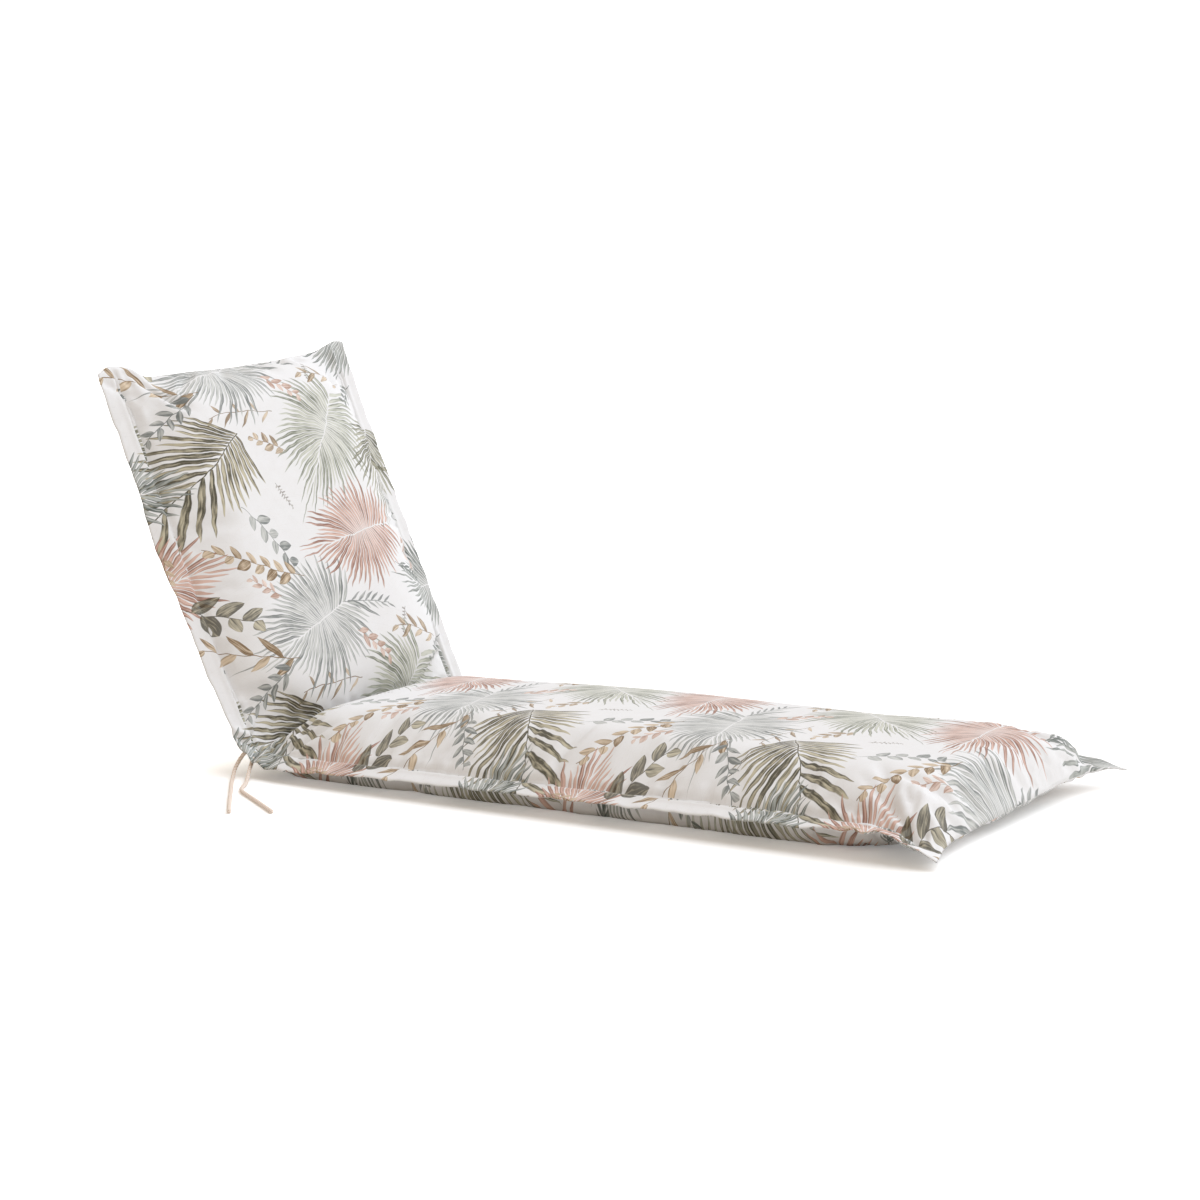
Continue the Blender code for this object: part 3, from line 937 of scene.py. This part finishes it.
    def place(self, s: Array, t: Array, upper: bool) -> Array:
        """Carry points of the flat cloth, top or underside, to where they lie.

        Args:
            s: places along the cloth, as a grid.
            t: places across it, as a grid.
            upper: whether the cloth is the upper one.

        Returns:
            Points in metres, with the last axis x, y and z.
        """
        fold_gap = np.abs(s - self.back_length)
        on_seat = s >= self.back_length
        x, z, heading = self.seam_path(s)

        # End seams
        length = np.where(on_seat, self.seat_length, self.back_length)
        seam = np.where(
            on_seat, soft_table(t, self.foot_seam, 1, 0.005), -soft_table(t, self.top_seam, 1, 0.005),
        )
        past = seam * (fold_gap / length) ** 6
        x = x + past * np.cos(heading)
        z = z + past * np.sin(heading)
        y = self.across_width(s, t)
        z = z + self.seat_side(np.maximum(x, 0.0), t)

        # Crown above and below the seam sheet inside the stitched lines
        inside = self.stitch - np.abs(t)
        end_gap = length - fold_gap
        foot_run = self.foot_run + (self.far_end_run - self.foot_run) * ease((t - 0.06) / 0.15)
        along = np.where(
            on_seat,
            rise(end_gap, foot_run, self.foot_power),
            rise(end_gap, self.top_run, self.top_power),
        ) * np.where(
            on_seat,
            rise(fold_gap, self.seat_fold_run, self.fold_power),
            rise(fold_gap, self.fold_run, self.fold_power),
        )
        edge = np.minimum(self.half - np.abs(t), np.minimum(s, self.length - s))
        skin = self.cloth / 2 * np.sqrt(1.0 - (1.0 - np.clip(edge / 0.004, 0.0, 1.0)) ** 2)
        if upper:
            crown = np.where(on_seat, soft_table(x, self.seat_crown, 1, 0.03), self.back_crown)
            far_run = self.side_run + (self.far_foot_run - self.side_run) * ease((x - 0.80) / 0.25)
            filled = along * np.where(
                t < 0,
                rise(inside, self.near_side_run, self.near_side_power),
                rise(inside, far_run, self.side_power),
            )
            height = crown * filled + self.creased(s, t, self.folds) * np.minimum(9.0 * filled, 1.0) + skin
        else:
            crown = np.where(on_seat, self.seat_below, self.back_below)
            # By the foot the underside leaves the ground early, so its seam stands clear
            lifted = np.where(on_seat, rise(end_gap, self.foot_below_run, 1.3), 1.0)
            height = -crown * along * lifted * rise(inside, self.below_run, self.side_power) - skin
        height = height + (1.0 if upper else -1.0) * self.sewing(s, t, upper)
        x = x - height * np.sin(heading)
        loose = self.ripple(s, t) + self.creased(s, t, self.crumples)
        x = x - loose * np.sin(heading)
        z = z + (height + loose) * np.cos(heading)
        return np.stack([x + self.fold_x, y, np.maximum(z, 0.0)], axis=-1)

    def sewing(self, s: Array, t: Array, upper: bool) -> Array:
        """Relief of the sewn lines: a groove, its raised lips and the gathers across it.

        The groove is a bell on the stitched line and the lips are wider bells
        beside it. The gathers are short troughs square to the line, at uneven
        spacings from a fixed seed.

        Args:
            s: places along the cloth.
            t: places across it.
            upper: whether the cloth is the upper one.

        Returns:
            Height away from the filling.
        """
        gap = np.abs(t) - self.stitch
        ends = ease(np.minimum(s, self.length - s) / 0.02)
        groove = -self.groove_depth * np.exp(-((gap / self.groove_reach) ** 2))
        lips = self.lip_height * np.exp(-(((np.abs(gap) - self.lip_gap) / self.lip_reach) ** 2))
        rng = np.random.default_rng(7 if upper else 8)
        total = (groove + lips) * ends
        for line in (-1.0, 1.0):
            steps = rng.uniform(0.016, 0.040, 80)
            spots = np.cumsum(steps)
            spots = spots[spots < self.length - 0.02]
            count = len(spots)
            reach = rng.uniform(0.030, 0.060, count)
            rows = np.column_stack([
                spots, line * (self.stitch - 0.35 * reach), line * 90.0 + rng.uniform(-22.0, 22.0, count),
                reach, rng.uniform(0.0035, 0.0065, count), -rng.uniform(0.0004, 0.0016, count),
            ])
            for part in np.array_split(rows, max(1, count // 20)):
                total = total + self.creased(s, t, part.tolist())
        return total

    def ripple(self, s: Array, t: Array) -> Array:
        """Rise and fall of the loose flange: sines that grow outwards, and the near one's fall.

        Args:
            s: places along the cloth.
            t: places across it.

        Returns:
            The height that they add to both cloths.
        """
        outside = np.clip((np.abs(t) - self.stitch) / self.flange, 0.0, 1.0)
        near = t < 0
        waves = sum(
            share * np.sin(2 * math.pi * s / length + np.where(near, near_phase, far_phase))
            for length, share, near_phase, far_phase in self.edge_waves
        )
        away = 1.0 - 0.7 * np.exp(-(((s - self.back_length) / 0.05) ** 2))
        fallen = -self.flange_fall * ease((self.back_length - 0.03 - s) / 0.10) * ease(s / 0.08) * near
        return (self.wave_height * waves * outside ** 0.5 + fallen) * outside * away


def cubic_weights(places: Array, count: int) -> Array:
    """Weights that read evenly spaced values between their stations.

    Each place takes its four nearest stations with the weights of the cubic
    whose slope at a station is half the way between its two neighbours.

    Args:
        places: where to read, counted in stations.
        count: how many stations there are.

    Returns:
        One row of weights to a place.
    """
    low = np.clip(np.floor(places).astype(int), 0, count - 2)
    share = places - low
    weights = (
        0.5 * (-share + 2 * share ** 2 - share ** 3),
        1.0 - 2.5 * share ** 2 + 1.5 * share ** 3,
        0.5 * (share + 4 * share ** 2 - 3 * share ** 3),
        0.5 * (share ** 3 - share ** 2),
    )
    table = np.zeros((len(places), count))
    for offset, weight in enumerate(weights):
        np.add.at(table, (np.arange(len(places)), np.clip(low - 1 + offset, 0, count - 1)), weight)
    return table


@dataclass(frozen=True)
class SewnGrid:
    """An upper and an under grid of cloth that share their border."""

    points: Array
    faces_top: Array
    faces_under: Array
    numbers_top: Array
    numbers_under: Array

    @classmethod
    def sew(cls, top: Array, under: Array) -> "SewnGrid":
        """Join two grids of points along their border.

        Args:
            top: the upper cloth's points, rows by columns by three.
            under: the under cloth's.

        Returns:
            The closed grid.
        """
        shape = top.shape[:2]
        numbers = np.arange(shape[0] * shape[1]).reshape(shape)
        inner = np.zeros(shape, bool)
        inner[1:-1, 1:-1] = True
        below = numbers.copy()
        below[inner] = numbers.size + np.arange(inner.sum())
        faces_top = np.stack([
            numbers[:-1, :-1], numbers[1:, :-1], numbers[1:, 1:], numbers[:-1, 1:],
        ], axis=-1).reshape(-1, 4)
        faces_under = np.stack([
            below[:-1, :-1], below[:-1, 1:], below[1:, 1:], below[1:, :-1],
        ], axis=-1).reshape(-1, 4)
        return cls(np.vstack([top.reshape(-1, 3), under[inner]]), faces_top, faces_under, numbers, below)


@dataclass(frozen=True)
class ClothSettling:
    """Cloth simulation of the cover: the filling presses, the seams hold.

    The cloth is cut a little longer than the form it is drawn over, so it
    gathers where it is sewn. Flanges, seams, the fold line and the patch that
    lies on the ground are held. spare is that extra length as a share, and
    cap the furthest that a point may end up from where it began.
    """

    spacing: float = 0.0085
    frames: int = 20
    pressure: float = 2.5
    spare: float = 0.060
    cap: float = 0.007
    quality: int = 5
    mass: float = 0.2
    stretch: float = 12.0
    squeeze: float = 8.0
    bending: float = 0.05
    stitch_hold: float = 0.003
    fold_hold: float = 0.014
    end_hold: float = 0.004
    ground_hold: float = 0.003

    def settle(self, form: LoungerForm) -> tuple[Array, Array]:
        """Run the simulation and read how far each cloth has moved.

        Args:
            form: the cushion's shape.

        Returns:
            Movement of the upper and of the under cloth on an even grid.
        """
        rows = np.linspace(0.0, form.length, round(form.length / self.spacing) + 1)
        columns = np.linspace(-form.half, form.half, round(form.width / self.spacing) + 1)
        s, t = np.meshgrid(rows, columns, indexing="ij")
        top, under = form.place(s, t, True), form.place(s, t, False)
        sewn = SewnGrid.sew(top, under)
        piece = new_object("settling_cloth", new_mesh(
            "settling_cloth", sewn.points, np.vstack([sewn.faces_top, sewn.faces_under]),
        ))
        seam = np.abs(t) > form.stitch - self.stitch_hold
        seam |= np.abs(s - form.back_length) < self.fold_hold
        seam |= (s < self.end_hold) | (s > form.length - self.end_hold)
        ground = seam | (under[..., 2] < self.ground_hold)
        held = np.concatenate([sewn.numbers_top[seam], sewn.numbers_under[ground]])
        group = piece.vertex_groups.new(name="held")
        group.add(np.unique(held).tolist(), 1.0, "REPLACE")
        cloth = piece.modifiers.new("cloth", "CLOTH")
        cloth.collision_settings.use_collision = False
        settings = cloth.settings
        settings.quality = self.quality
        settings.mass = self.mass
        settings.tension_stiffness = self.stretch
        settings.shear_stiffness = self.stretch
        settings.compression_stiffness = self.squeeze
        settings.bending_stiffness = self.bending
        settings.use_pressure = True
        settings.uniform_pressure_force = self.pressure
        settings.shrink_min = -self.spare
        settings.vertex_group_mass = group.name
        settings.effector_weights.gravity = 0.0
        cloth.point_cache.frame_end = self.frames
        scene = bpy.context.scene
        for number in range(1, self.frames + 1):
            scene.frame_set(number)
        evaluated = piece.evaluated_get(bpy.context.evaluated_depsgraph_get())
        moved = np.empty(len(sewn.points) * 3)
        evaluated.data.vertices.foreach_get("co", moved)
        move = moved.reshape(-1, 3) - sewn.points
        size = np.linalg.norm(move, axis=1)[:, None] + 1e-9
        log.info("settling: median %.1f mm, largest %.1f mm", 1000 * np.median(size), 1000 * size.max())
        move = move / size * self.cap * np.tanh(size / self.cap)
        bpy.data.objects.remove(piece)
        scene.frame_set(1)
        return move[sewn.numbers_top], move[sewn.numbers_under]


@dataclass
class CoverCushion:
    """The filled cover: upper and under cloth sewn together all round."""

    form: LoungerForm
    settling: ClothSettling = field(default_factory=ClothSettling)
    finish: PrintedCotton = field(default_factory=PrintedCotton)
    coarse: float = 0.0072
    fine: float = 0.0020

    def stations(self) -> tuple[Array, Array]:
        """Rows and columns of the cloth grid, closer together at seams and fold.

        The spacing is a smooth function of the distance to the nearest busy
        place, and the stations are where its running sum reaches whole numbers.

        Returns:
            Places along and across.
        """
        form = self.form

        def spread(low: float, high: float, busy: Sequence[tuple]) -> Array:
            """Places from low to high, finer near the busy ones."""
            walk = np.linspace(low, high, 6001)
            near = sum(np.exp(-(((walk - spot) / reach) ** 4)) for spot, reach in busy)
            density = 1.0 / (self.coarse + (self.fine - self.coarse) * np.minimum(near, 1.0))
            total = np.concatenate([[0.0], np.cumsum(0.5 * (density[1:] + density[:-1]) * np.diff(walk))])
            count = math.ceil(total[-1])
            return np.interp(np.linspace(0.0, total[-1], count + 1), total, walk)

        rows = spread(0.0, form.length, (
            (0.0, 0.05), (form.back_length, 0.09), (form.length, 0.13),
        ))
        columns = spread(-form.half, form.half, (
            (-form.half, 0.075), (form.half, 0.060),
        ))
        return rows, columns

    def build(self) -> bpy.types.Object:
        """Make the closed cover with its cloth coordinates as a UV map.

        The upper and under grids share their border corners, so the seam is
        closed all round.

        Returns:
            The cover.
        """
        rows, columns = self.stations()
        s, t = np.meshgrid(rows, columns, indexing="ij")
        top = self.form.place(s, t, True)
        under = self.form.place(s, t, False)
        moves = self.settling.settle(self.form)
        count_rows, count_columns = moves[0].shape[:2]
        along = cubic_weights(rows / self.form.length * (count_rows - 1), count_rows)
        across = cubic_weights((columns / self.form.width + 0.5) * (count_columns - 1), count_columns)
        top, under = (
            cloth + np.einsum("ri,ijk,cj->rck", along, move, across)
            for cloth, move in zip((top, under), moves)
        )
        top[..., 2] = np.maximum(top[..., 2], 0.0)
        under[..., 2] = np.maximum(under[..., 2], 0.0)
        sewn = SewnGrid.sew(top, under)
        mesh = new_mesh("cover_cushion", sewn.points, np.vstack([sewn.faces_top, sewn.faces_under]))
        count_s, count_t = s.shape
        flat = np.stack([s, t], axis=-1)
        corners_top = flat.reshape(-1, 2)[sewn.faces_top.reshape(-1)]
        steps = ((0, 0), (0, 1), (1, 1), (1, 0))
        corners_under = np.stack([
            flat[ds:count_s - 1 + ds, dt:count_t - 1 + dt] for ds, dt in steps
        ], axis=2).reshape(-1, 2)
        corners_under = corners_under * (1.0, -1.0) + (0.05, 0.56)
        layer = mesh.uv_layers.new(name="cloth")
        layer.data.foreach_set("uv", np.vstack([corners_top, corners_under]).ravel())
        mesh.materials.append(self.finish.make())
        return new_object("cover_cushion", mesh)

    def dress(self) -> bpy.types.Object:
        """Build the cover, hang it from the root body and hide the CAD cushion that it replaces.

        Returns:
            The cover.
        """
        cover = self.build()
        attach(cover, "root")
        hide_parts("cushion")
        return cover


@dataclass
class TieCord:
    """One strand of the tie, a soft cord lying on the ground."""

    name: str
    node: str
    route: tuple
    fold_x: float
    material: bpy.types.Material
    diameter: float = 0.006
    step: float = 0.012
    lay_length: float = 0.020
    around: int = 24

    def path(self) -> Array:
        """The middle line in the part's frame, resting on the ground."""
        points = smooth_route(self.route, self.step)
        points[:, 2] = np.maximum(points[:, 2], self.diameter / 2 + 0.0001)
        return points + (self.fold_x, 0.0, 0.0)

    def build(self, path: Array) -> bpy.types.Object:
        """Carry a three-lobed profile along the path, turning once a lay length.

        The radius at angle a and distance d is half the diameter times
        1 - 0.10 (1 - cos 3(a - 2 pi d / lay)) / 2, with round closed ends.

        Args:
            path: the middle line.

        Returns:
            The strand.
        """
        fine = smooth_route(path, 0.0015)
        reach = np.concatenate([[0.0], np.cumsum(np.linalg.norm(np.diff(fine, axis=0), axis=1))])
        tangent = np.gradient(fine, axis=0)
        tangent /= np.linalg.norm(tangent, axis=1)[:, None]
        side = np.cross(tangent, (0.62, 0.78, 0.0))
        side /= np.linalg.norm(side, axis=1)[:, None]
        lift = np.cross(side, tangent)
        angle = np.linspace(0.0, 2 * math.pi, self.around + 1)
        twist = 3 * (angle[None, :] - 2 * math.pi * reach[:, None] / self.lay_length)
        radius = self.diameter / 2 * (1.0 - 0.05 * (1.0 - np.cos(twist)))
        gap = np.minimum(reach, reach[-1] - reach)[:, None]
        radius = radius * np.sqrt(1.0 - (1.0 - np.clip(gap / 0.003, 0.02, 1.0)) ** 2)
        ring = (
            fine[:, None, :]
            + radius[..., None] * np.cos(angle)[None, :, None] * side[:, None, :]
            + radius[..., None] * np.sin(angle)[None, :, None] * lift[:, None, :]
        )
        ring[..., 2] = np.maximum(ring[..., 2], 0.0001)
        count = len(fine)
        points = np.vstack([ring[:, :-1].reshape(-1, 3), fine[:1], fine[-1:]])
        numbers = np.arange(count * self.around).reshape(count, self.around)
        nxt = np.roll(numbers, -1, axis=1)
        quads = np.stack([numbers[:-1], nxt[:-1], nxt[1:], numbers[1:]], axis=-1).reshape(-1, 4)
        first = np.stack([np.full(self.around, count * self.around), nxt[0], numbers[0]], axis=-1)
        last = np.stack([np.full(self.around, count * self.around + 1), numbers[-1], nxt[-1]], axis=-1)
        mesh = bpy.data.meshes.new(self.name)
        mesh.from_pydata(points, [], quads.tolist() + first.tolist() + last.tolist())
        mesh.update()
        mesh.shade_smooth()
        u = angle / (2 * math.pi)
        span = np.broadcast_to(u[None, :], (count, self.around + 1))
        run = np.broadcast_to(reach[:, None], (count, self.around + 1))
        flat = np.stack([span, run], axis=-1)
        corners = np.stack([
            flat[:-1, :-1], flat[:-1, 1:], flat[1:, 1:], flat[1:, :-1],
        ], axis=2).reshape(-1, 2)
        cap = np.zeros((6 * self.around, 2))
        layer = mesh.uv_layers.new(name="cord")
        layer.data.foreach_set("uv", np.vstack([corners, cap]).ravel())
        mesh.materials.append(self.material)
        return new_object(self.name, mesh)

    def dress(self) -> bpy.types.Object:
        """Returns:
            The strand.
        """
        path = self.path()
        strand = self.build(path)
        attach(strand, "root")
        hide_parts(self.node)
        return strand


# The ties' routes, measured from the fold line
TIE_LEFT = (
    (-0.0012, -0.2450, 0.0357), (-0.0032, -0.2458, 0.0326), (-0.0068, -0.2530, 0.0240),
    (-0.0060, -0.2640, 0.0130), (0.0050, -0.2800, 0.0050), (0.0230, -0.3010, 0.0031),
    (0.0580, -0.3380, 0.0031), (0.1050, -0.3880, 0.0031), (0.1590, -0.4440, 0.0031),
)
TIE_RIGHT = (
    (0.0140, -0.2450, 0.0286), (0.0139, -0.2458, 0.0250), (0.0160, -0.2540, 0.0180),
    (0.0280, -0.2720, 0.0095), (0.0500, -0.3000, 0.0040), (0.0690, -0.3280, 0.0031),
    (0.0880, -0.3440, 0.0031), (0.1350, -0.3710, 0.0031), (0.2120, -0.4160, 0.0031),
)


@dataclass
class Studio:
    """White floor, soft light from above and the camera at the photo's angle."""

    camera_at: tuple = (2.4526, -2.7088, 0.711)
    yaw: float = 0.6325
    pitch: float = 0.1358
    roll: float = -0.0318
    lens: float = 72.02
    sun_energy: float = 2.85
    sun_colour: tuple = (0.79, 0.88, 1.0)
    sun_tilt: tuple = (-26.0, 22.0, 0.0)
    sun_spread: float = 80.0
    # The room seen directly is white; what it sends onto the cloth is warmer
    room_seen: tuple = (1.1, 1.1, 1.1, 1.0)
    room_glow: tuple = (0.55, 0.465, 0.375, 1.0)

    def camera(self, fold_x: float) -> bpy.types.Object:
        """Stand the camera where the photo was taken from.

        Args:
            fold_x: the fold line's place in the part's frame.

        Returns:
            The camera.
        """
        cos_y, sin_y = math.cos(self.yaw), math.sin(self.yaw)
        cos_p, sin_p = math.cos(self.pitch), math.sin(self.pitch)
        cos_r, sin_r = math.cos(self.roll), math.sin(self.roll)
        ahead = Vector((-sin_y * cos_p, cos_y * cos_p, -sin_p))
        right = Vector((cos_y, sin_y, 0.0))
        up = right.cross(ahead)
        right, up = cos_r * right + sin_r * up, -sin_r * right + cos_r * up
        data = bpy.data.cameras.new("camera")
        data.lens = self.lens
        data.sensor_width = 36.0
        data.sensor_height = 36.0
        data.sensor_fit = "HORIZONTAL"
        data.clip_end = 200.0
        camera = bpy.data.objects.new("camera", data)
        turn = Matrix((right, up, -ahead)).transposed().to_4x4()
        camera.matrix_world = Matrix.Translation(
            (self.camera_at[0] + fold_x, self.camera_at[1], self.camera_at[2])
        ) @ turn
        bpy.context.scene.collection.objects.link(camera)
        bpy.context.scene.camera = camera
        return camera

    def floor(self) -> bpy.types.Object:
        """A wide pale floor, which isn't part of the object.

        Returns:
            The floor.
        """
        size = 60.0
        mesh = bpy.data.meshes.new("floor")
        mesh.from_pydata(
            [(-size, -size, 0.0), (size, -size, 0.0), (size, size, 0.0), (-size, size, 0.0)],
            [], [(0, 1, 2, 3)],
        )
        mesh.update()
        material = bpy.data.materials.new("matt white painted floor")
        material.use_nodes = True
        sheet = NodeSheet(material.node_tree)
        matt = sheet.add("ShaderNodeBsdfDiffuse", {"Color": linear("#FBFAF8")})
        seen = sheet.add("ShaderNodeLightPath")
        place = sheet.add("ShaderNodeTexCoord")
        parts = sheet.add("ShaderNodeSeparateXYZ", {0: place.outputs["Object"]})
        # The photo's floor is brightest behind the backrest. Here that is painted light: the floor glows for
        # camera rays only, evenly and more behind the backrest, which washes out the backrest's cast shadow
        # there
        floor_glow_painted_behind_back = sheet.add(
            "ShaderNodeMapRange", {0: parts.outputs[0], 1: -0.40, 2: -0.62, 3: 0.20, 4: 0.80},
            interpolation_type="SMOOTHSTEP",
        )
        lift = sheet.add(
            "ShaderNodeMath", {0: seen.outputs["Is Camera Ray"], 1: floor_glow_painted_behind_back.outputs[0]}, operation="MULTIPLY",
        )
        # Painted light: this glow is seen by the camera only and lifts the floor most behind the backrest
        floor_glow_even_and_painted = sheet.add("ShaderNodeEmission", {"Strength": lift.outputs[0]})
        both = sheet.add("ShaderNodeAddShader", {0: matt.outputs[0], 1: floor_glow_even_and_painted.outputs[0]})
        sheet.add("ShaderNodeOutputMaterial", {"Surface": both.outputs[0]})
        mesh.materials.append(material)
        floor = new_object("floor", mesh)
        return floor

    def lights(self) -> None:
        """One broad soft light from above and a white room all round."""
        sun = bpy.data.lights.new("soft_box", "SUN")
        sun.energy = self.sun_energy
        sun.angle = math.radians(self.sun_spread)
        sun.color = self.sun_colour
        lamp = bpy.data.objects.new("soft_box", sun)
        lamp.rotation_euler = tuple(math.radians(angle) for angle in self.sun_tilt)
        bpy.context.scene.collection.objects.link(lamp)
        world = bpy.data.worlds.new("white room")
        world.use_nodes = True
        sheet = NodeSheet(world.node_tree)
        seen = sheet.add("ShaderNodeLightPath")
        strength = sheet.add(
            "ShaderNodeMix",
            {0: seen.outputs["Is Camera Ray"], 6: self.room_glow, 7: self.room_seen},
            data_type="RGBA",
        )
        back = sheet.add("ShaderNodeBackground", {"Color": strength.outputs[2], "Strength": 1.0})
        sheet.add("ShaderNodeOutputWorld", {"Surface": back.outputs[0]})
        bpy.context.scene.world = world
        bpy.context.scene.view_settings.view_transform = "Standard"


# From the fold line to the cushion's foot end in the CAD
FOLD_TO_FOOT = 1.146


def main() -> None:
    """Build the studio, the cords and the cover in order."""
    _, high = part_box("cushion")
    fold_x = high.x - FOLD_TO_FOOT
    studio = Studio()
    studio.camera(fold_x)
    cord = SoftCord().make()
    for name, node, route in (
        ("tie_cord_left", "tie_left", TIE_LEFT),
        ("tie_cord_right", "tie_right", TIE_RIGHT),
    ):
        strand = TieCord(name, node, route, fold_x, cord).dress()
        log.info("%s: %d faces", strand.name, len(strand.data.polygons))
    cover = CoverCushion(LoungerForm(fold_x)).dress()
    log.info("%s: %d faces", cover.name, len(cover.data.polygons))
    studio.floor()
    studio.lights()


if __name__ == "__main__":
    main()
